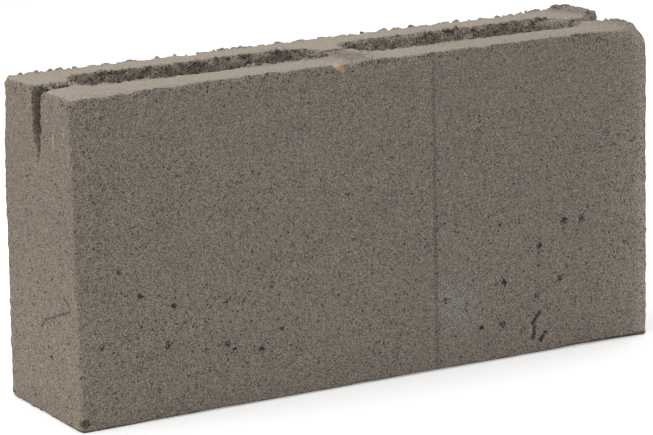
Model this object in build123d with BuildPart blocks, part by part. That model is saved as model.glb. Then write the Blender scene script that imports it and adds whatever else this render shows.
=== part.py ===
from build123d import *

import os
from math import radians, tan

# Two-cell concrete partition block, cast in one piece.
# All sizes are in millimetres. The block stands on its closed bed, with the mouths of its two cells up.
# +X runs along its length, +Y through its thickness and +Z up. The origin is the centre of the bed.

# Outside of the block
block_length = 390.0
block_width = 90.0
block_height = 192.0
upright_arris_radius = 2.0
top_arris_radius = 1.5
bed_arris_radius = 1.0

# Cells, measured at their mouths
side_wall = 25.0
end_wall = 25.0
web = 20.0
cell_floor = 20.0
cell_draft = 1.5  # degrees that each wall of a cell leans in towards its floor
cell_end_flat = 8.0  # flat stretch between the two round corners at each end of a cell
cell_floor_radius = 6.0

# Slot that the bar of the mould leaves along the middle, through the end walls and the web
slot_width = 5.0
slot_straight_depth = 10.0
slot_depth = 14.0
slot_tip_width = 1.5

# Key in each end, where the slot widens and deepens towards the end face
key_width = 12.0
key_straight_depth = 27.0
key_depth = 46.0
key_tip_width = 2.0

# Sizes worked out from those above
cell_length = (block_length - 2 * end_wall - web) / 2
cell_width = block_width - 2 * side_wall
cell_depth = block_height - cell_floor
cell_middle = (web + cell_length) / 2
cell_corner_radius = (cell_width - cell_end_flat) / 2
cell_lean = cell_depth * tan(radians(cell_draft))
floor_corner_radius = cell_corner_radius - cell_lean
floor_fillet_radius = min(cell_floor_radius, 0.8 * floor_corner_radius)
end_face = block_length / 2
key_inner_end = end_face - end_wall


def groove_section(plane, width, straight_depth, depth, tip_width):
    """Sketch of a groove that hangs from the top face: upright sides, then a narrowing tip."""
    with BuildSketch(plane) as section:
        with BuildLine():
            Polyline(
                (-width / 2, block_height),
                (-width / 2, block_height - straight_depth),
                (-tip_width / 2, block_height - depth),
                (tip_width / 2, block_height - depth),
                (width / 2, block_height - straight_depth),
                (width / 2, block_height),
                close=True,
            )
        make_face()
    return section.sketch


def slot_section(plane):
    """Section of the slot that the bar leaves."""
    return groove_section(plane, slot_width, slot_straight_depth, slot_depth, slot_tip_width)


def key_section(plane):
    """Section of the key at the end face."""
    return groove_section(plane, key_width, key_straight_depth, key_depth, key_tip_width)


with BuildPart() as concrete_block:
    # Cast body with worn arrises
    with BuildSketch():
        RectangleRounded(block_length, block_width, upright_arris_radius)
    extrude(amount=block_height)
    fillet(concrete_block.faces().sort_by(Axis.Z)[0].edges(), bed_arris_radius)
    fillet(concrete_block.faces().sort_by(Axis.Z)[-1].edges(), top_arris_radius)

    # Two blind cells that narrow towards the floor, so that the formers draw out
    with BuildSketch(Plane.XY.offset(block_height)):
        with Locations((-cell_middle, 0), (cell_middle, 0)):
            RectangleRounded(cell_length, cell_width, cell_corner_radius)
    extrude(amount=-cell_depth, taper=cell_draft, mode=Mode.SUBTRACT)
    cell_floors = concrete_block.faces().filter_by(Plane.XY).filter_by_position(
        Axis.Z, cell_floor, cell_floor
    )
    fillet(cell_floors.edges(), floor_fillet_radius)

    # Slot along the middle of the top, from end to end
    extrude(slot_section(Plane.YZ), amount=end_face, both=True, mode=Mode.SUBTRACT)

    # Keys, which narrow from each end face to the slot where it meets the cell
    for side in (-1, 1):
        outer_section = key_section(Plane.YZ.offset(side * end_face))
        inner_section = slot_section(Plane.YZ.offset(side * key_inner_end))
        loft([outer_section, inner_section], ruled=True, mode=Mode.SUBTRACT)

concrete_block.part.label = "concrete_block"

os.makedirs("parts", exist_ok=True)
export_step(concrete_block.part, "parts/concrete_block.step")
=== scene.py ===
"""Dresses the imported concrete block: a sculpted casting, its concrete, a floor, lamps and the camera.

The casting is sculpted in millimetres as a field, negative inside the concrete, on a grid of points.
Its surface becomes one mesh, in metres. Noise is seeded, so each run gives the same block.
"""

from itertools import product
from math import radians

import bpy
import numpy as np
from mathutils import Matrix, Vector


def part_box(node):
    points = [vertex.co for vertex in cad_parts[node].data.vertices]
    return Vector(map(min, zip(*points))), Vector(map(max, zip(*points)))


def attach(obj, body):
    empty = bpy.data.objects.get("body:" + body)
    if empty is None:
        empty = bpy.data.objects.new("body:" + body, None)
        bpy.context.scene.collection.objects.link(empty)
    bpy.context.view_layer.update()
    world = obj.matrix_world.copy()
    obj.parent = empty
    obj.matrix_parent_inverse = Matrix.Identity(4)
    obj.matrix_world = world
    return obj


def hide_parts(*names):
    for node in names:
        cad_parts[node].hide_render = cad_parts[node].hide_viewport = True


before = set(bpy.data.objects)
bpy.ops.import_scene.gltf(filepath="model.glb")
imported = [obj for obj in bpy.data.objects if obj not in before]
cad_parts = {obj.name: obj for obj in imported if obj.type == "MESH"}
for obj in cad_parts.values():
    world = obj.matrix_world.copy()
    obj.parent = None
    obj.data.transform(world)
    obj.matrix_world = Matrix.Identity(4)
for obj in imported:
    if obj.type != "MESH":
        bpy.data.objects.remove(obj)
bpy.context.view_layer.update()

# Block as packed, in millimetres
MM = 0.001
node = "concrete_block"
_, high = (np.array(corner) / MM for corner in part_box(node))
height = high[2]
half_length = high[0] - 0.8
half_width = high[1]

# How the casting departs from true: it spreads at its foot, leans, and is taller at its far end
near_top = height - 3.7
far_top = height + 2.4
highest_crumb = height + 5.6
lowest_grain = 0.05
foot_spread = 1.9
front_lean = 0.3
back_lean = 1.5
back_bulge = 0.6
bed_hollow = 0.6

# Arrises, and how far some places are worn or stand up
upright_arris = 1.5
top_arris = 0.5
rim_arris = 0.6
bed_arris = 1.4
back_corner_wear = 7
far_corner_wear = 2
rim_crumble = 1.1
ledge_width = 3.8
ridge_height = 4.5
approach_height = 1.2
dip_depth = 0.8

# Cells, slot and keys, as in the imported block
side_wall = 25.0
end_wall = 25.0
web = 20.0
cell_floor = 20.0
cell_draft = 0.0262  # lean of each wall for each millimetre of depth
cell_corner = 16.0
cell_floor_round = 6.0
slot_width = 4.4
slot_depths = (6.0, 11.0)  # where its sides start to close in, and its bottom
key_width = 11.6
key_depths = (27.0, 46.0)
key_tip_width = 2.0
near_key_shift = -1.3
key_flare = 6.0  # how far the front side of a key opens at its mouth

# The marks that stand out most on the front face, as (x, z), and on the near end face, as (y, z)
front_pores = {
    (132, 80): 5.0, (145, 80): 3.6, (114, 67): 3.5, (88, 48): 4.2, (129, 45): 4.0, (112, 36): 3.5,
    (46, 43): 3.4, (86, 22): 4.6, (-79, 32): 4.2, (-97, 34): 3.5, (-102, 38): 4.4, (-113, 24): 3.3,
    (-135, 65): 4.0, (-139, 42): 4.4, (-155, 73): 3.8, (-180, 47): 2.9, (85, 83): 2.7, (71, 22): 3.1,
    (148, 51): 2.8, (-66, 42): 2.9, (-101, 63): 2.9, (-168, 88): 2.8,
}
end_pores = {(-11, 36): 2.6, (14, 136): 1.8}
gouge_strokes = [
    ((108.4, 19.2), (113.8, 25.7)),
    ((110.0, 17.0), (109.0, 10.5)),
    ((118.0, 12.5), (114.5, 8.5)),
]
crack_turns = [(-30, 74), (-36, 70), (-37, 67.5), (-18.5, 61.5), (-4.5, 56.5), (1.5, 51.5)]
scratches = [
    ((-23, 165), (-22.5, 157)),
    ((-36, 170), (-36.5, 166)),
    ((-42, 159), (-42.5, 154)),
    ((-14, 174), (-14.5, 171)),
]

# Where those marks lie
front_face = -half_width - 1.0
gouge_face = -half_width - 1.6
near_face = -half_length

# Sizes of the grains of sand, and how far pores and their clusters are apart
sand_size = 0.38
coarse_sand_size = 1.2
pore_spacing = 1.15
cluster_spacing = 8.0

# How much lighter a mark is than the concrete round it, or darker where it is negative
lowest_tone = 0.1
# Painted shade in the pores and in the holes of their clusters
pore_shade_tone = -0.75
hole_shade_tone = -0.35
mould_line_tone = -0.26
# Painted shade along the foot, over some dark staining
foot_shade_and_stain_tone = -0.6
# Painted shade in the carved gouge
gouge_shade_tone = -0.7
scrape_tone = 0.25
# Painted shade in the crack
crack_shade_tone = -0.45
scratch_tone = 0.4

# Colours, and factors that tint a colour
plain_colours = ((0.236, 0.200, 0.161, 1), (0.218, 0.193, 0.164, 1))
pressed_colours = ((0.302, 0.254, 0.203, 1), (0.286, 0.249, 0.207, 1))
stone_colours = ((0.42, 0.26, 0.13, 1), (0.52, 0.41, 0.29, 1))
cement_colour = (0.255, 0.239, 0.213, 1)
blue_colour = (0.285, 0.285, 0.28, 1)
rust_colour = (0.30, 0.185, 0.095, 1)
brown_colour = (0.090, 0.061, 0.045, 1)
floor_colour = (0.8, 0.8, 0.8, 1)
white = (1, 1, 1, 1)
end_tint = (0.95, 0.905, 0.87)
# Painted shade inside the near key, darker and a little warmer
key_shade_tint = (0.96, 0.88, 0.80)
dusty_tint = (0.88, 0.86, 0.82)
# Painted shade on the steep flank of the far ridge, a little browner
ridge_flank_shade_tint = (0.75, 0.73, 0.69)

# Camera, in metres, degrees and millimetres of lens, and the light of the world and the floor
camera_place = (-0.8152, -1.3855, 0.4423)
camera_turn = (77.649, 0.912, -30.429)
camera_lens = 152.22
world_light = 0.58
floor_glow = 0.35

# Resolution
voxel = 0.8
triangle_budget = 195_000


class Grid:
    """Points on which the casting is sculpted, as three arrays that broadcast against each other."""

    def __init__(self, start, stop, step):
        self.axes = [np.arange(a, b, step, dtype=np.float32) for a, b in zip(start, stop)]
        self.start = np.array(start, np.float32)
        self.stop = np.array(stop, np.float32)
        self.step = step
        self.x = self.axes[0][:, None, None]
        self.y = self.axes[1][None, :, None]
        self.z = self.axes[2][None, None, :]
        self.shape = tuple(len(axis) for axis in self.axes)

    def lumps(self, size, seed):
        """Smooth random field with lumps about that size across, mean 0 and spread 1."""
        rng = np.random.default_rng(seed)
        counts = [int((b - a) / size) + 4 for a, b in zip(self.start, self.stop)]
        field = rng.standard_normal(counts, np.float32)
        for axis, points in enumerate(self.axes):
            distance = np.abs((points - self.start[axis]) / size + 1 - np.arange(counts[axis])[:, None])
            near = 2 / 3 - distance**2 + distance**3 / 2
            far = np.clip(2 - distance, 0, None) ** 3 / 6
            weights = np.where(distance < 1, near, far).astype(np.float32)
            field = np.tensordot(field, weights, axes=(0, 0))
        return field / 0.35

    def window(self, centre, reach):
        """Slices of the grid within that reach of a point, and the offsets of their points from it."""
        slices, offsets = [], []
        for axis, points in enumerate(self.axes):
            first, last = np.searchsorted(points, (centre[axis] - reach, centre[axis] + reach))
            slices.append(slice(first, last))
            shape = [1, 1, 1]
            shape[axis] = last - first
            offsets.append((points[first:last] - centre[axis]).reshape(shape))
        return tuple(slices), offsets

    def sample(self, field, points):
        """Values of a field at the grid points nearest to some points."""
        index = np.rint((points - self.start) / self.step).astype(int)
        index = np.clip(index, 0, np.array(self.shape) - 1)
        return np.broadcast_to(field, self.shape)[index[:, 0], index[:, 1], index[:, 2]]


def rounded_corner(first, second, radius):
    """Distance to the corner where two faces meet, rounded to that radius, from the distance to each."""
    first, second = first + radius, second + radius
    outside = np.hypot(np.maximum(first, 0), np.maximum(second, 0))
    return np.minimum(np.maximum(first, second), 0) + outside - radius


def bump_near(value, centre, spread):
    """Smooth bump of height 1 around a value."""
    return np.exp(-(((value - centre) / spread) ** 2))


def rise_past(value, edge, softness):
    """Smooth step from 0 below an edge to 1 above it."""
    return 1 / (1 + np.exp(-(value - edge) / softness))


def ramp(value, start, length):
    """Straight slope from 0 at a start to 1 after a length."""
    return np.clip((value - start) / length, 0, 1)


def top_plane(x):
    """Height of the pressed top face before it is worn, which rises towards the far end."""
    return near_top + (far_top - near_top) * (x + half_length) / (2 * half_length)


def outer_walls(grid, wear):
    """Distance to the four outer faces."""
    rise = grid.z / height
    front = -(half_width + foot_spread) + rise * (foot_spread + front_lean)
    back = half_width + foot_spread - rise * (foot_spread + back_lean)
    back = back + back_bulge * 4 * rise * (1 - rise)
    sides = np.maximum(front - grid.y, grid.y - back)
    return rounded_corner(np.abs(grid.x) - half_length, sides, upright_arris + wear)


def cells(grid, depth):
    """Distance to the two cells, negative in them."""
    lean = depth * cell_draft
    cell_length = half_length - end_wall - web / 2
    cell_middle = web / 2 + cell_length / 2
    along = np.abs(np.abs(grid.x) - cell_middle) - cell_length / 2 + lean
    across = np.abs(grid.y) - (half_width - side_wall) + lean
    walls = rounded_corner(along, across, cell_corner - lean)
    return rounded_corner(walls, cell_floor - grid.z, cell_floor_round)


def grooves(grid, depth):
    """Distance to the slot along the middle and to the keys at its ends, negative in them."""
    key_share = ramp(np.abs(grid.x), half_length - end_wall, end_wall)

    def along(slot_value, key_value):
        return slot_value + (key_value - slot_value) * key_share

    straight = along(slot_depths[0], key_depths[0])
    bottom = along(slot_depths[1], key_depths[1])
    half = along(slot_width, key_width) / 2
    closing = ramp(depth, straight, bottom - straight)
    half = half - (half - key_tip_width / 2) * closing
    aside = grid.y - near_key_shift * key_share * (grid.x < 0)
    below = np.clip(depth, 0, None)
    front_mouth = key_flare * np.clip(3 * key_share, 0, 1) * np.exp(-below / (0.8 + 3.2 * key_share))
    mouth = np.where(aside < 0, front_mouth, key_share * np.exp(-below / 3.0))
    return np.maximum(np.abs(aside) - half - mouth, depth - bottom)


class Casting:
    """The field of the worn casting, with masks of its skin, its rough stretches and its hollows."""

    def __init__(self, grid):
        self.grid = grid
        self.grains = grid.lumps(2.6, 2)
        self.clods = grid.lumps(7.0, 3)
        self.top = top_plane(grid.x)
        self.depth = self.top - grid.z
        self.below = np.clip(self.depth, 0, None)
        self.shape_walls()
        self.shape_top()
        self.shape_arrises()
        self.add_crumbs()
        self.roughen()
        self.gouge()
        self.body = np.maximum(self.body, np.maximum(grid.z - highest_crumb, lowest_grain - grid.z))

    def shape_walls(self):
        """Outer faces with two worn corners, and the hollows with their crumbled rims."""
        x, y, depth = self.grid.x, self.grid.y, self.depth
        back_corner = bump_near(x, -half_length, 12) * bump_near(y, half_width, 10)
        back_corner = back_corner * bump_near(depth, 0, 28)
        far_corner = bump_near(x, half_length, 12) * bump_near(y, -half_width, 12)
        far_corner = far_corner * bump_near(depth, 0, 14)
        wear = back_corner_wear * back_corner + far_corner_wear * far_corner
        self.outline = outer_walls(self.grid, wear)

        # The far rim of each cell crumbled as the formers drew out.
        # A ledge stayed on the front rim of the near cell.
        self.inner = rise_past(-self.outline, 12, 1.5)
        self.far_rim = self.inner * rise_past(y, 4, 1.5)
        crumbled = np.clip(0.7 + self.clods, 0, 2.5) * np.exp(-self.below / 2.5) * self.far_rim
        ledge = ledge_width * bump_near(x, -150, 20) * rise_past(-y, 9, 1.5) * np.exp(-self.below / 6)
        worn_cells = cells(self.grid, depth) - rim_crumble * crumbled + ledge
        self.hollow = np.minimum(worn_cells, grooves(self.grid, depth))
        self.walls = rounded_corner(self.outline, -self.hollow, rim_arris)
        self.inset = -self.walls

    def shape_top(self):
        """Height of the worn top: ridge at the far end of the back wall, dip beside it, and slumps."""
        x, y, clods = self.grid.x, self.grid.y, self.clods
        at_end = rise_past(x, half_length - 10, 1.2)
        back_wall = rise_past(y, 8, 0.8)
        self.mound = at_end * back_wall
        approach = approach_height * ramp(x, 158, 27) * ramp(y, 34, 8)
        ridge = self.mound * (ridge_height + 0.5 * clods) + approach * (1 - self.mound)
        dip = dip_depth * at_end * rise_past(y, -13, 1.5) * (1 - back_wall)

        far_slump = 2.4 * ramp(x, 152, 34) * ramp(-y, 32, 12)
        front_slump = (0.3 + 1.3 * bump_near(x, -half_length, 40)) * ramp(-y, 36, 8)
        key_slump = 0.8 * bump_near(x, -163, 10) * bump_near(y, -12, 5)
        slump = far_slump + front_slump + key_slump
        shoulder = np.clip(0.35 + clods, 0, 2) * np.exp(np.clip(self.outline, None, 0) / 2.2)
        shoulder = shoulder * (1 - self.mound)
        limit = highest_crumb - 0.1 + 0.2 * self.grains - 0.3 * np.clip(0.6 - clods, 0, 2)
        self.crest = np.minimum(self.top + ridge - dip - slump - 0.8 * shoulder, limit)

    def shape_arrises(self):
        """Arrises, bitten where clods came away, rounded off at the ends and broken low in front."""
        x, y, z = self.grid.x, self.grid.y, self.grid.z
        bite = np.clip(0.4 + self.clods, 0, 2.2) * (0.6 + 0.6 * self.far_rim) * (1 - 0.7 * self.mound)
        end_wear = 2.2 * bump_near(x, -half_length, 6) * (1 - self.inner)
        corner_wear = 9.5 * bump_near(x, half_length, 26) * rise_past(-y, 35, 2.5)
        body = rounded_corner(self.walls, z - self.crest, top_arris + bite + end_wear + corner_wear)
        bed = bed_hollow * ramp(half_length - np.abs(x), 0, 45)
        broken = 1.2 * bump_near(x, 152, 26) * rise_past(-y, 30, 3)
        self.body = rounded_corner(body, bed - z, bed_arris + broken + 0.4 * np.clip(self.clods, 0, 2))

    def add_crumbs(self):
        """Rows of crumbs along the back arris, the rims of the cells, the slot and the far end."""
        back = half_width - back_lean - 0.8
        rim = half_width - side_wall
        near, far = 12.0, half_length - end_wall - 6

        # Two ends on the top face, count, size, spread along x and y, rise, seed and perhaps a stretch
        rows = [
            ((-185, back), (180, back), 420, 0.6, (2.2, 0.5), -0.15, 11, (1.3, 1.0, 1.0)),
            ((-57, back), (-36, back), 40, 0.7, (1.5, 0.6), 0.35, 21),
            ((162, back), (183, back), 60, 0.7, (1.5, 0.6), 0.2, 23),
            ((-far, rim + 2), (-near, rim + 2), 150, 0.8, (2.0, 1.2), -0.7, 12),
            ((near, rim + 2), (far, rim + 2), 150, 0.8, (2.0, 1.2), -0.7, 13),
            ((-168, -14), (-124, -rim - 0.5), 280, 0.55, (2.5, 1.3), -0.4, 20),
            ((-75, -rim - 1), (-12, -rim - 1), 130, 0.6, (2.0, 0.7), 0.1, 14),
            ((10, -rim - 1), (82, -rim - 1), 150, 0.6, (2.0, 0.8), 0.1, 15),
            ((-28, -6), (30, -10), 130, 0.6, (4.0, 6.0), -0.45, 16),
            ((half_length - 8, 38), (half_length - 6, 10), 80, 0.9, (1.8, 2.5), 2.7, 17),
            ((half_length - 9, 42), (half_length - 6, 34), 50, 0.8, (1.5, 2.0), 2.2, 22),
            ((half_length - 4, -13), (half_length - 5, -24), 60, 0.8, (1.5, 1.5), -0.1, 18),
            ((-half_length + 24, -2), (-half_length + 6, 2), 80, 0.8, (2.0, 4.0), -0.6, 19),
        ]
        for row in rows:
            self.crumb_row(*row)

    def crumb_row(self, start, stop, count, size, spread, rise, seed, shape=(1.0, 1.0, 1.0)):
        """Clusters of crumbs along a line on the top face, some height above or below it."""
        rng = np.random.default_rng(seed)
        start, stop = np.array(start), np.array(stop)
        clusters = rng.uniform(0, 1, count // 4)
        for _ in range(count):
            place = start + (stop - start) * rng.choice(clusters) + rng.normal(0, spread, 2)
            lift = rise + rng.normal(0, 0.3)
            radius = size * rng.lognormal(0, 0.3)
            centre = (place[0], place[1], top_plane(place[0]) + lift)
            slices, (dx, dy, dz) = self.grid.window(centre, 2 * radius + 2)
            stretch = rng.uniform(0.7, 1.3, 3) * shape
            dx, dy, dz = dx / stretch[0], dy / stretch[1], dz / stretch[2]
            crumb = np.sqrt(dx**2 + dy**2 + dz**2) - radius
            self.body[slices] = np.minimum(self.body[slices], crumb)

    def roughen(self):
        """Coarse grain near the top arrises and in the hollows, and a slight swell on the moulded faces."""
        x, y, below = self.grid.x, self.grid.y, self.below
        fine = self.grid.lumps(1.7, 1)
        waves = self.grid.lumps(40.0, 4)
        under = np.clip(self.depth / 1.5 - 0.2, 0, 1)
        # Walls of the hollows below the top: rougher there, and the material paints light and shade on them
        self.dark = np.clip(2 - np.abs(self.hollow) / 0.9, 0, 1) * under
        by_near_arris = 0.55 * bump_near(x, -183, 14) * rise_past(-y, 40, 2)
        by_near_arris = by_near_arris * np.clip(1.2 - below / 40, 0, 1)
        band = np.maximum(np.clip(1 - below / 8, 0, 1), by_near_arris)
        band = band * np.clip(1 - self.inset / 2.5, 0, 1)
        near_key = rise_past(-x, half_length - end_wall + 1, 1) * (y * y < 100)
        inside = self.dark * (0.5 + 0.5 * np.exp(-below / 12)) * (1 - 0.65 * near_key)
        loose = self.loose_stretches()
        self.rough = np.clip(np.maximum(band + inside, 0.8 * loose), 0, 1)

        corner = np.clip((np.abs(x) - half_length) / 3 + 1, 0, 1) * np.clip(1 + self.outline, 0, 1)
        amplitude = 0.42 * self.rough * (1 - 0.4 * loose) + 0.22 * corner
        self.body += amplitude * (0.8 * fine + 0.5 * self.grains) + 0.1 * waves
        raised = np.abs(self.crest - self.grid.z)
        flat = np.clip(1.3 - raised / 0.8, 0, 1) * np.clip(self.inset / 1.5 - 0.4, 0, 1)
        self.skin = flat * (1 - 0.8 * rise_past(x, half_length - 11, 1.5)) * (1 - 0.75 * loose)
        self.skin = self.skin * (1 - 0.95 * self.mound)

    def loose_stretches(self):
        """Mask of the top where the pressed skin came away: by the rims, web, near key and far end."""
        x, y = self.grid.x, self.grid.y
        patches = 0.3 + 0.6 * self.grid.lumps(16.0, 6) + bump_near(x, -142, 22) + bump_near(x, 24, 24)
        rim = np.clip(1.2 - np.abs(self.hollow) / 4, 0, 1) * np.clip(patches, 0, 1)
        loose = rim * rise_past(-y, 2, 1)
        loose = np.maximum(loose, bump_near(x, -4, 20) * rise_past(-y, -2, 2))
        loose = np.maximum(loose, bump_near(x, -163, 8) * bump_near(y, 6, 6))
        loose = np.maximum(loose, bump_near(x, -163, 12) * bump_near(y, -12, 6))
        loose = np.maximum(loose, rise_past(x, 172, 6) * rise_past(-y, 2, 3))
        loose = np.maximum(loose, self.mound)
        return loose * np.clip(1 - self.below / 4, 0, 1)

    def gouge(self):
        """Ragged gouge low on the front face, as short rows of round holes that run into each other."""
        rng = np.random.default_rng(6)
        for start, stop in gouge_strokes:
            for share in np.linspace(0, 1, 12):
                x, z = np.array(start) + (np.array(stop) - start) * share + rng.normal(0, 0.5, 2)
                slices, (dx, dy, dz) = self.grid.window((x, gouge_face, z), 5)
                hole = rng.uniform(0.6, 1.3) - np.sqrt(dx * dx + dy * dy + dz * dz)
                self.body[slices] = np.maximum(self.body[slices], hole)


def surface_net(grid, field):
    """Corners and quads of the field's zero surface, with one corner in each grid cell that it crosses."""
    inside = field < 0
    size = np.array(grid.shape) - 1
    count = np.zeros(size, np.uint8)
    for i, j, k in product((0, 1), repeat=3):
        count += inside[i : i + size[0], j : j + size[1], k : k + size[2]]
    crossed = (count > 0) & (count < 8)
    cell_number = np.full(size, -1, np.int32)
    cell_number[crossed] = np.arange(np.count_nonzero(crossed), dtype=np.int32)
    cell_places = np.argwhere(crossed)

    # Each corner is the middle of the points where the cell's edges cross the surface
    total = np.zeros((len(cell_places), 3))
    hits = np.zeros(len(cell_places))
    for axis in range(3):
        step = np.eye(3, dtype=int)[axis]
        for shift in product((0, 1), repeat=2):
            begin = cell_places + np.insert(np.array(shift), axis, 0)
            a = field[tuple(begin.T)]
            b = field[tuple((begin + step).T)]
            hit = (a < 0) != (b < 0)
            share = a[hit] / (a[hit] - b[hit])
            total[hit] += begin[hit] + share[:, None] * step
            hits[hit] += 1
    corners = grid.start + grid.step * total / hits[:, None]

    # Each grid edge that crosses the surface is the middle of a quad of four cells
    quads = []
    for axis in range(3):
        one, two = np.eye(3, dtype=int)[[(axis + 1) % 3, (axis + 2) % 3]]
        lower = np.take(inside, range(size[axis]), axis)
        upper = np.take(inside, range(1, size[axis] + 1), axis)
        for leaving, turn in ((lower & ~upper, 1), (upper & ~lower, -1)):
            edges = np.argwhere(leaving)
            ring = [edges - one - two, edges - two, edges, edges - one][::turn]
            quads.append(np.stack([cell_number[tuple(cells_at.T)] for cells_at in ring], 1))
    return corners, np.concatenate(quads)


def largest_part(corners, faces):
    """Only the faces that hang together with most others, so that no loose crumb floats in the air."""
    part = np.arange(len(corners))
    while True:
        lowest = part[faces].min(1)
        renamed = part.copy()
        np.minimum.at(renamed, faces.ravel(), np.repeat(lowest, faces.shape[1]))
        renamed = renamed[renamed]
        if np.array_equal(renamed, part):
            break
        part = renamed
    kept = part[faces[:, 0]] == np.bincount(part).argmax()
    used = np.unique(faces[kept])
    number = np.zeros(len(corners), int)
    number[used] = np.arange(len(used))
    return corners[used], number[faces[kept]]


def mesh_from(name, corners, faces):
    """Mesh of polygons that all have the same number of corners."""
    mesh = bpy.data.meshes.new(name)
    mesh.vertices.add(len(corners))
    mesh.vertices.foreach_set("co", corners.astype(np.float32).ravel())
    mesh.loops.add(faces.size)
    mesh.loops.foreach_set("vertex_index", faces.astype(np.int32).ravel())
    mesh.polygons.add(len(faces))
    mesh.polygons.foreach_set("loop_start", np.arange(0, faces.size, faces.shape[1], dtype=np.int32))
    mesh.update(calc_edges=True)
    return mesh


def block_object():
    """The worn casting as one piece, thinned to the triangle budget."""
    margin = 4
    start = (-high[0] - margin, -high[1] - margin, -margin)
    stop = (high[0] + margin, high[1] + margin, highest_crumb + margin)
    grid = Grid(start, stop, voxel)
    casting = Casting(grid)
    corners, quads = largest_part(*surface_net(grid, casting.body))

    dense = bpy.data.objects.new("dense", mesh_from("dense", corners * MM, quads))
    bpy.context.scene.collection.objects.link(dense)
    thin = dense.modifiers.new("thin", "DECIMATE")
    thin.ratio = min(1.0, triangle_budget / (2 * len(quads)))
    thinned = dense.evaluated_get(bpy.context.evaluated_depsgraph_get())
    mesh = bpy.data.meshes.new_from_object(thinned)
    bpy.data.objects.remove(dense)
    mesh.validate()
    mesh.name = "casting"

    places = np.zeros(len(mesh.vertices) * 3, np.float32)
    mesh.vertices.foreach_get("co", places)
    places = places.reshape(-1, 3) / MM
    for name in ("skin", "rough", "dark"):
        values = grid.sample(getattr(casting, name), places).astype(np.float32)
        mesh.attributes.new(name, "FLOAT", "POINT").data.foreach_set("value", values)
    mesh.shade_smooth()
    return bpy.data.objects.new("casting", mesh)


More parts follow.
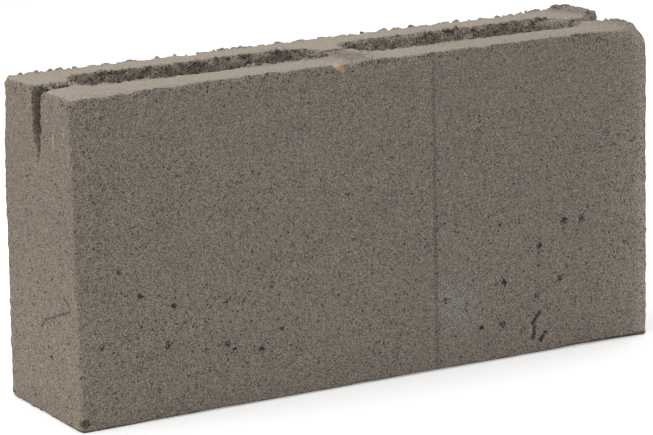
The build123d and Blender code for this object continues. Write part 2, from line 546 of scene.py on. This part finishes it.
class Shade:
    """Adds nodes to a material, one short call each. Places and sizes are in millimetres."""

    def __init__(self, name):
        self.material = bpy.data.materials.new(name)
        self.material.use_nodes = True
        self.tree = self.material.node_tree
        self.shader = self.tree.nodes["Principled BSDF"]
        place = self.add("ShaderNodeTexCoord").outputs["Object"]
        self.place = self.scale(place, 1 / MM)
        split = self.add("ShaderNodeSeparateXYZ")
        self.link(self.place, split.inputs[0])
        self.x, self.y, self.z = split.outputs

    def add(self, kind, **settings):
        made = self.tree.nodes.new(kind)
        for name, value in settings.items():
            setattr(made, name, value)
        return made

    def link(self, value, socket):
        if isinstance(value, bpy.types.NodeSocket):
            self.tree.links.new(value, socket)
        else:
            socket.default_value = value

    def math(self, operation, *values):
        made = self.add("ShaderNodeMath", operation=operation)
        for value, socket in zip(values, made.inputs):
            self.link(value, socket)
        return made.outputs[0]

    def linear(self, value, slope, base=1.0):
        """Value times a slope, plus a base."""
        return self.math("MULTIPLY_ADD", value, slope, base)

    def combine(self, operation, values):
        """One value out of several, which are taken in turn."""
        combined = values[0]
        for value in values[1:]:
            combined = self.math(operation, combined, value)
        return combined

    def product(self, *values):
        return self.combine("MULTIPLY", values)

    def total(self, *values):
        return self.combine("ADD", values)

    def strongest(self, *values):
        return self.combine("MAXIMUM", values)

    def vector(self, operation, *values):
        made = self.add("ShaderNodeVectorMath", operation=operation)
        for value, socket in zip(values, made.inputs):
            self.link(value, socket)
        return made

    def scale(self, colour, factor):
        """Colour or vector times a factor."""
        made = self.add("ShaderNodeVectorMath", operation="SCALE")
        self.link(colour, made.inputs[0])
        self.link(factor, made.inputs["Scale"])
        return made.outputs[0]

    def noise(self, size, detail=2.0, roughness=0.5, seed=0.0, place=None):
        """Noise from 0 to 1 with lumps about that size."""
        made = self.add("ShaderNodeTexNoise", noise_dimensions="4D")
        self.link(place or self.place, made.inputs["Vector"])
        self.link(seed, made.inputs["W"])
        self.link(1 / size, made.inputs["Scale"])
        self.link(detail, made.inputs["Detail"])
        self.link(roughness, made.inputs["Roughness"])
        return made.outputs["Fac"]

    def grain(self, size, place=None):
        """Grains of about that size: distance from a grain's middle, and two random numbers of its own."""
        made = self.add("ShaderNodeTexVoronoi")
        self.link(place or self.place, made.inputs["Vector"])
        self.link(1 / size, made.inputs["Scale"])
        number = self.add("ShaderNodeSeparateColor")
        self.link(made.outputs["Color"], number.inputs[0])
        return made.outputs["Distance"], number.outputs[0], number.outputs[1]

    def step(self, value, low, high, out_low=0.0, out_high=1.0):
        """Smooth step of a value from low to high."""
        made = self.add("ShaderNodeMapRange", interpolation_type="SMOOTHSTEP")
        for given, socket in zip((value, low, high, out_low, out_high), made.inputs):
            self.link(given, socket)
        return made.outputs[0]

    def mix(self, share, first, second):
        """Colour between two colours."""
        made = self.add("ShaderNodeMix", data_type="RGBA")
        for given, index in ((share, 0), (first, 6), (second, 7)):
            self.link(given, made.inputs[index])
        return made.outputs[2]

    def mask(self, name):
        """Mask that the sculpted mesh carries."""
        return self.add("ShaderNodeAttribute", attribute_name=name).outputs["Fac"]

    def wobble(self, size, amount, seed):
        """Place in millimetres, shifted by noise, for ragged edges."""
        made = self.add("ShaderNodeTexNoise", noise_dimensions="4D")
        self.link(self.place, made.inputs["Vector"])
        self.link(seed, made.inputs["W"])
        self.link(1 / size, made.inputs["Scale"])
        centred = self.vector("SUBTRACT", made.outputs["Color"], (0.5, 0.5, 0.5)).outputs[0]
        return self.vector("ADD", self.place, self.scale(centred, amount)).outputs[0]

    def spot(self, place, centre, radius, soft=0.4):
        """Round spot, 1 in its middle and 0 outside."""
        distance = self.vector("DISTANCE", place, centre).outputs["Value"]
        return self.step(distance, radius * (1 + soft), radius * (1 - soft))

    def stroke(self, place, start, stop, width):
        """Straight stroke between two places."""
        line = Vector(stop) - Vector(start)
        offset = self.vector("SUBTRACT", place, start).outputs[0]
        along = self.vector("DOT_PRODUCT", offset, tuple(line / line.length_squared)).outputs["Value"]
        along = self.math("MINIMUM", self.math("MAXIMUM", along, 0.0), 1.0)
        nearest = self.scale(tuple(line), along)
        distance = self.vector("DISTANCE", offset, nearest).outputs["Value"]
        return self.step(distance, width * 0.75, width * 0.3)

    def strokes(self, place, lines, width):
        """Several straight strokes at once."""
        return self.strongest(*[self.stroke(place, start, stop, width) for start, stop in lines])


def on_front(place, face=front_face):
    """Point of the front face from its x and z."""
    x, z = place
    return x, face, z


def on_end(place):
    """Point of the near end face from its y and z."""
    y, z = place
    return near_face, y, z


class Concrete(Shade):
    """Sandy grey-brown concrete: lighter pressed skin, dark pores, speckled grains and a few marks."""

    def __init__(self):
        super().__init__("concrete")
        self.find_regions()
        self.tone = self.sand_tone()
        self.paint_light_in_hollows()
        self.add_pores()
        self.mark_front()
        self.mark_end()
        self.lighten_regions()
        self.mix_colours()
        self.tint_patches()
        self.colour = self.scale(self.colour, self.tone)
        # Painted shade inside the near key: its walls are darker and a little warmer
        self.tint(self.product(self.dark, self.near_key), key_shade_tint)
        self.show_stone()
        self.link(self.colour, self.shader.inputs["Base Color"])
        self.link(self.relief(), self.shader.inputs["Normal"])
        self.shader.inputs["Roughness"].default_value = 0.95
        self.shader.inputs["Specular IOR Level"].default_value = 0.25

    def lighten(self, mask, amount):
        """Makes the tone lighter by that share under a mask, or darker where the share is negative."""
        self.tone = self.product(self.tone, self.linear(mask, amount))

    def tint(self, mask, factors):
        """Multiplies the colour by some factors under a mask."""
        self.colour = self.mix(mask, self.colour, self.vector("MULTIPLY", self.colour, factors).outputs[0])

    def cover(self, mask, share, colour):
        """Covers that share of the colour with another under a mask."""
        self.colour = self.mix(self.product(mask, share), self.colour, colour)

    def find_regions(self):
        """Masks of the stretches that look different from the rest."""
        skin_edge = self.total(self.mask("skin"), self.noise(2.5, 3.0, 0.6, 1.0))
        self.skin = self.step(skin_edge, 0.75, 1.0)
        self.rough = self.mask("rough")
        self.dark = self.mask("dark")
        self.lowness = self.step(self.z, 130.0, 20.0)
        self.openness = self.step(self.z, 175.0, 110.0)
        self.at_end = self.step(self.math("ABSOLUTE", self.x), half_length - 3, half_length - 1)
        # Inside the near key, where painted shade darkens the walls
        key_start = self.step(self.x, -194.0, -190.5)
        key_stop = self.step(self.x, -168.0, -171.0)
        self.near_key = self.product(key_stop, self.step(self.z, 144.0, 158.0), key_start)
        self.ragged = self.wobble(2.0, 1.6, 7.0)

    def sand_tone(self):
        """Tone of the grains of sand, stronger where the casting is rough, with blotches and streaks."""
        self.sand_middle, number, second = self.grain(sand_size)
        self.coarse_middle, coarse_number, _ = self.grain(coarse_sand_size)
        contrast = self.linear(self.openness, 0.15, self.linear(self.rough, 0.3, 1.35))
        contrast = self.product(contrast, self.linear(self.skin, -0.5))
        pale = self.step(second, 0.93, 0.99, 0.0, 0.45)
        dark = self.step(second, 0.14, 0.06, 0.0, 0.45)
        flecks = self.math("SUBTRACT", pale, dark)
        speckle = self.product(self.total(self.math("SUBTRACT", number, 0.5), flecks), contrast)
        coarse = self.product(self.math("SUBTRACT", coarse_number, 0.5), self.linear(self.rough, 0.3, 0.1))
        blotch = self.linear(self.noise(26.0, 4.0, 0.6, 3.0), 0.16, -0.08)
        upright = self.vector("MULTIPLY", self.place, (1, 1, 0.03)).outputs[0]
        streak = self.linear(self.noise(5.0, 2.0, 0.5, 6.0, upright), 0.10, -0.05)
        tone = self.total(self.total(speckle, coarse), self.total(blotch, streak))
        # Painted light: the tone is lighter lower down, where less light reaches the faces
        tone = self.total(tone, self.linear(self.lowness, 0.07))
        return self.strongest(tone, lowest_tone)

    def paint_light_in_hollows(self):
        """Painted light and shade on the hollows' walls: the cells' walls are painted lighter, the near key
        darker inside than the cells, and the near end of the near cell lighter.
        """
        painted_hollow_light = self.step(self.x, 20.0, 60.0, 0.14, 0.34)
        painted_hollow_light = self.linear(self.near_key, -0.45, painted_hollow_light)
        cell_end = self.product(self.step(self.x, -154.0, -161.0), self.step(self.x, -172.0, -169.0))
        painted_hollow_light = self.linear(cell_end, 0.4, painted_hollow_light)
        self.lighten(self.dark, painted_hollow_light)

    def add_pores(self):
        """Pores, where coarser grains are missing, mostly in clusters, painted dark as painted shade in
        them. Those that stand out are placed.
        """
        cluster_middle, cluster_number, cluster_size = self.grain(cluster_spacing)
        cluster = self.linear(cluster_middle, -cluster_spacing, self.linear(cluster_size, 1.3, 1.3))
        share = self.linear(self.openness, 0.2, 0.16)
        cluster = self.product(cluster, self.math("LESS_THAN", cluster_number, share), 0.35)
        marks = [(on_front(place), reach) for place, reach in front_pores.items()]
        marks += [(on_end(place), reach) for place, reach in end_pores.items()]
        drifted = self.wobble(1.8, 5.0, 16.0)
        for place, reach in marks:
            distance = self.vector("DISTANCE", drifted, place).outputs["Value"]
            cluster = self.strongest(cluster, self.linear(distance, -1 / reach))
        cluster = self.strongest(cluster, 0.0)
        hole = self.step(self.linear(cluster, 0.38, self.noise(1.4, 2.0, 0.7, 17.0)), 0.75, 0.81)

        cluster = self.math("POWER", cluster, 2.0)
        patches = self.step(self.noise(9.0, 2.0, 0.5, 5.0), 0.5, 0.8, 0.0, 0.10)
        missing = self.total(
            self.linear(cluster, 1.2, 0.01),
            self.product(self.rough, 0.14),
            self.product(self.openness, 0.03),
            patches,
        )
        middle, number, size = self.grain(pore_spacing, self.wobble(1.2, 0.9, 13.0))
        pore = self.step(self.math("SUBTRACT", number, missing), 0.02, -0.02)
        edge = self.linear(cluster, -0.5, self.linear(size, -0.35, middle))
        pore = self.strongest(self.product(pore, self.step(edge, 0.4, 0.25)), hole)
        self.pore = self.product(pore, self.linear(self.skin, -0.7))
        # Painted shade in the pores and holes
        self.lighten(self.pore, pore_shade_tone)
        self.lighten(hole, hole_shade_tone)

    def mark_front(self):
        """Line of the mould, painted shade along the bed arris over some staining, gouge with painted shade
        in it, scrape, and a painted highlight at the far arris.
        """
        mould_line = self.stroke(self.ragged, on_front((39.5, 200)), on_front((39.7, 0)), 2.6)
        self.lighten(mould_line, mould_line_tone)
        # Painted shade along the foot, where the front meets the floor, over some dark staining; the band is
        # higher towards the far end
        far_end_rise = self.step(self.x, 100.0, 150.0, -0.3, 0.7)
        foot_band_height = self.linear(self.noise(4.0, 2.0, 0.5, 14.0), 3.0, far_end_rise)
        foot_shade_and_stain = self.step(self.math("SUBTRACT", self.z, foot_band_height), 0.4, -0.4)
        self.lighten(foot_shade_and_stain, foot_shade_and_stain_tone)

        torn = self.wobble(1.3, 2.4, 15.0)
        lines = [[on_front(end, gouge_face) for end in stroke] for stroke in gouge_strokes]
        # Painted shade in the carved gouge
        self.lighten(self.strokes(torn, lines, 2.5), gouge_shade_tone)
        start, stop = ((107.2, 18.0), (106.0, 12.5))
        scrape = self.stroke(self.ragged, on_front(start, gouge_face), on_front(stop, gouge_face), 1.8)
        self.lighten(scrape, scrape_tone)

        # Painted highlight: the front is lighter towards the far upright arris, where light catches it
        wide_highlight = self.step(self.x, 150.0, half_length, 0.0, 0.14)
        narrow_highlight = self.step(self.x, 182.0, half_length, 0.0, 0.37)
        painted_highlight = self.product(self.total(wide_highlight, narrow_highlight), self.step(self.y, -35.0, -42.0))
        self.lighten(painted_highlight, 1.0)

    def mark_end(self):
        """Crack and scratches in the near end face."""
        turns = [on_end(turn) for turn in crack_turns]
        self.crack = self.strokes(self.ragged, zip(turns, turns[1:]), 1.7)
        # Painted shade in the crack
        self.lighten(self.crack, crack_shade_tone)
        lines = [(on_end(start), on_end(stop)) for start, stop in scratches]
        self.lighten(self.strokes(self.ragged, lines, 2.0), scratch_tone)

    def lighten_regions(self):
        """The ends are lighter at their foot, and the far part of the front wall's top is darker."""
        self.lighten(self.product(self.at_end, self.lowness), 0.1)
        far_front = self.product(self.step(self.x, 0.0, 90.0), self.step(self.y, 5.0, -5.0), self.skin)
        self.lighten(far_front, -0.07)

    def mix_colours(self):
        """Moulded faces, browner at the ends, and the pressed skin."""
        hue = self.noise(1.1, 1.0, 0.5, 8.0)
        self.colour = self.mix(hue, *plain_colours)
        self.tint(self.at_end, end_tint)
        self.colour = self.mix(self.skin, self.colour, self.mix(hue, *pressed_colours))

    def tint_patches(self):
        """Dusty web, painted shade on the steep flank of the far ridge, pale cement, blue-grey fleck, rusty
        spots and the brown near corner.
        """
        self.tint(self.spot(self.ragged, (-8, -20, 191), 16.0, 0.5), dusty_tint)
        # Painted shade on the steep flank of the far ridge, a little browner
        self.tint(self.spot(self.ragged, (187, 37, 196), 7.0, 0.5), ridge_flank_shade_tint)
        cement = self.spot(self.wobble(9.0, 16.0, 10.0), on_front((54, 38)), 13.0, 0.8)
        self.cover(cement, 0.7, cement_colour)
        blue = self.spot(self.ragged, on_front((7.5, 185)), 1.9, 0.6)
        self.cover(blue, 0.8, blue_colour)
        front_rust = self.spot(self.ragged, on_front((-15.5, 12)), 2.2)
        top_rust = self.spot(self.ragged, (19.4, -11.4, 191.6), 1.6)
        self.cover(self.strongest(front_rust, top_rust), 0.6, rust_colour)
        brown = self.spot(self.wobble(2.0, 1.0, 7.0), on_front((-192, 5.5)), 2.9, 0.15)
        self.cover(brown, 0.9, brown_colour)

    def show_stone(self):
        """Broken stone that shows at the top arris of the front face."""
        chipped = self.wobble(3.0, 1.6, 11.0)
        upper = self.stroke(chipped, (-25.4, -44.7, 190.3), (-23.6, -44.7, 189.4), 4.0)
        lower = self.stroke(chipped, (-23.4, -44.8, 189.3), (-21.2, -44.9, 186.9), 2.6)
        browner = self.step(self.x, -22.0, -26.0, -0.15, 0.15)
        shade = self.step(self.total(self.noise(1.0, 2.0, 0.6, 12.0), browner), 0.35, 0.65)
        stone = self.mix(shade, *stone_colours)
        self.colour = self.mix(self.strongest(upper, lower), self.colour, stone)

    def relief(self):
        """Bump of the grains, the pores and the crack."""
        height = self.linear(self.sand_middle, -0.5, self.product(self.pore, -0.8))
        coarse = self.product(self.coarse_middle, self.linear(self.rough, -0.7, -0.15))
        height = self.total(height, coarse, self.product(self.crack, -0.8))
        bump = self.add("ShaderNodeBump")
        self.link(height, bump.inputs["Height"])
        self.link(self.linear(self.skin, -0.35, 0.8), bump.inputs["Strength"])
        bump.inputs["Distance"].default_value = 0.5 * MM
        return bump.outputs[0]


def floor_object():
    """Plain pale floor that shows white to the camera and keeps the block's shadow."""
    half = 6.0
    corners = np.array([(-half, -half, 0), (half, -half, 0), (half, half, 0), (-half, half, 0)])
    mesh = mesh_from("floor", corners, np.array([[0, 1, 2, 3]]))
    material = bpy.data.materials.new("floor")
    material.use_nodes = True
    tree = material.node_tree
    shader = tree.nodes["Principled BSDF"]
    shader.inputs["Base Color"].default_value = floor_colour
    shader.inputs["Roughness"].default_value = 1.0
    shader.inputs["Specular IOR Level"].default_value = 0.0
    shader.inputs["Emission Color"].default_value = white
    ray = tree.nodes.new("ShaderNodeLightPath")
    glow = tree.nodes.new("ShaderNodeMath")
    glow.operation = "MULTIPLY"
    glow.inputs[1].default_value = floor_glow
    tree.links.new(ray.outputs["Is Camera Ray"], glow.inputs[0])
    tree.links.new(glow.outputs[0], shader.inputs["Emission Strength"])
    mesh.materials.append(material)
    return bpy.data.objects.new("floor", mesh)


def add_lamp(name, place, size, power):
    """Soft square lamp that points at the middle of the block."""
    data = bpy.data.lights.new(name, "AREA")
    data.size = size
    data.energy = power
    lamp = bpy.data.objects.new(name, data)
    bpy.context.scene.collection.objects.link(lamp)
    lamp.location = place
    aim = Vector((0, 0, height * MM / 2)) - Vector(place)
    lamp.rotation_euler = aim.to_track_quat("-Z", "Y").to_euler()


def set_world(light):
    """Even light from all round, which the camera sees as white."""
    world = bpy.data.worlds.new("studio")
    bpy.context.scene.world = world
    world.use_nodes = True
    tree = world.node_tree
    background = tree.nodes["Background"]
    background.inputs["Color"].default_value = white
    ray = tree.nodes.new("ShaderNodeLightPath")
    mirrored = tree.nodes.new("ShaderNodeMath")
    mirrored.operation = "MAXIMUM"
    tree.links.new(ray.outputs["Is Glossy Ray"], mirrored.inputs[0])
    tree.links.new(ray.outputs["Is Transmission Ray"], mirrored.inputs[1])
    shown = tree.nodes.new("ShaderNodeMath")
    shown.operation = "MAXIMUM"
    tree.links.new(mirrored.outputs[0], shown.inputs[0])
    tree.links.new(ray.outputs["Is Camera Ray"], shown.inputs[1])
    strength = tree.nodes.new("ShaderNodeMapRange")
    strength.inputs["To Min"].default_value = light
    strength.inputs["To Max"].default_value = 1.0
    tree.links.new(shown.outputs[0], strength.inputs["Value"])
    tree.links.new(strength.outputs[0], background.inputs["Strength"])


def add_camera():
    """Camera at the photograph's viewing angle."""
    data = bpy.data.cameras.new("camera")
    data.sensor_fit = "HORIZONTAL"
    data.sensor_width = 36.0
    data.lens = camera_lens
    data.clip_end = 20.0
    camera = bpy.data.objects.new("camera", data)
    bpy.context.scene.collection.objects.link(camera)
    camera.location = camera_place
    camera.rotation_euler = [radians(angle) for angle in camera_turn]
    bpy.context.scene.camera = camera


casting = block_object()
bpy.context.scene.collection.objects.link(casting)
casting.data.materials.clear()
casting.data.materials.append(Concrete().material)
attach(casting, "root")
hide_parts(node)

floor = floor_object()
bpy.context.scene.collection.objects.link(floor)

add_lamp("top", (-0.3, 0.1, 1.6), 1.6, 15)
add_lamp("left", (-1.8, -0.1, 0.7), 1.2, 11)
add_lamp("right", (1.6, 0.6, 0.8), 1.2, 8)
set_world(world_light)
add_camera()

bpy.context.scene.view_settings.view_transform = "Standard"
